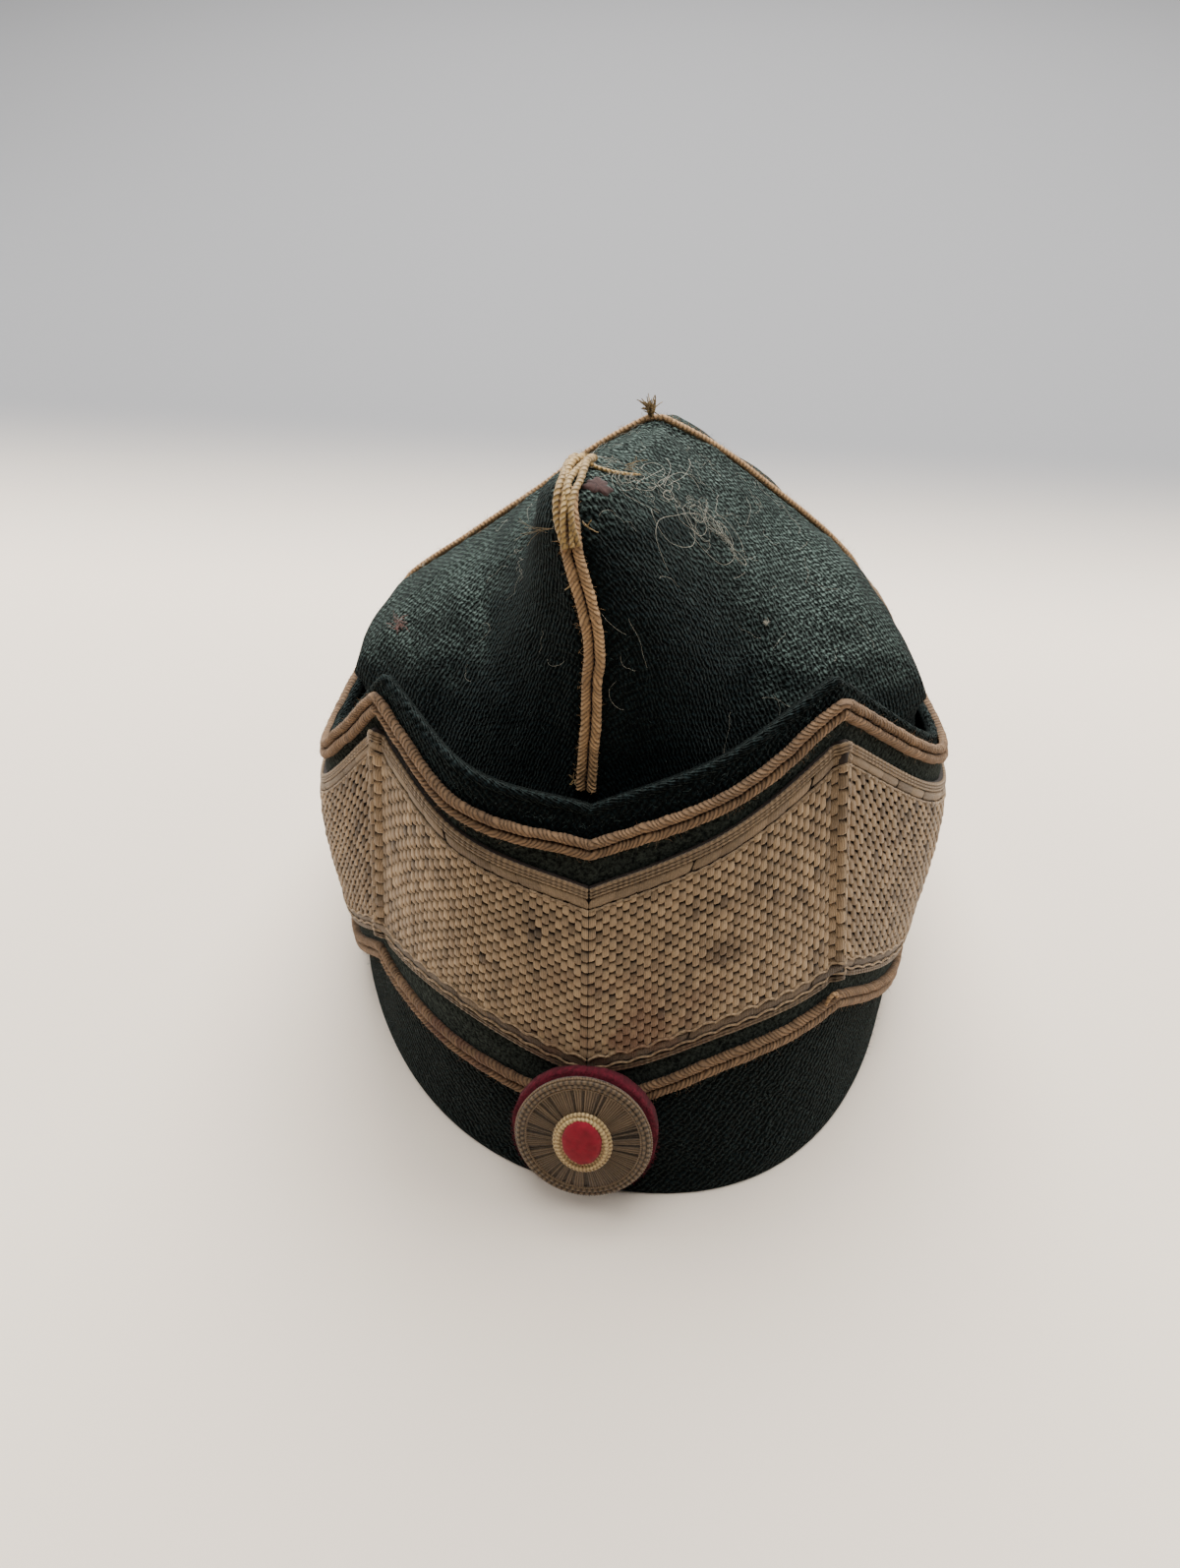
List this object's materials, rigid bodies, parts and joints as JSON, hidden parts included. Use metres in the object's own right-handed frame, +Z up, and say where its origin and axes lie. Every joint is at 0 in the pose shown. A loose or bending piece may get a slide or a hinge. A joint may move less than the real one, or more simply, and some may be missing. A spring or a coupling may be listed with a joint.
{
  "type": "side cap",
  "caption": "Soft wool side cap with a four-panel crown, tall turn-up with wide woven lace, narrow braid and a round front cockade, opened out and standing on its rim.",
  "frame": {"origin": "centre of the box round the cap, on the floor under its rim", "axes": "+Z up, the front of the cap faces -Y and the wearer's left is at +X"},
  "size_m": [0.1436, 0.2052, 0.1365],
  "materials": {
    "green_wool": "coarse dark green wool",
    "tan_lace": "basket-woven tarnished metal thread",
    "tan_braid": "two-ribbed tan braid",
    "maroon_wool": "dark red wool",
    "silver_thread": "wound tarnished silver thread",
    "gold_thread": "twisted gold thread",
    "red_felt": "red felt"
  },
  "bodies": {
    "root": {"crown_front_left": "green_wool", "crown_front_right": "green_wool", "crown_rear_left": "green_wool", "crown_rear_right": "green_wool", "turn_up": "green_wool", "lace_left": "tan_lace", "lace_right": "tan_lace", "upper_soutache": "tan_braid", "lower_soutache": "tan_braid", "front_seam_soutache": "tan_braid", "cross_seam_piping": "tan_braid", "cockade_base": "maroon_wool", "cockade_disc": "silver_thread", "cockade_ring": "gold_thread", "cockade_centre": "red_felt"}
  },
  "joints": []
}
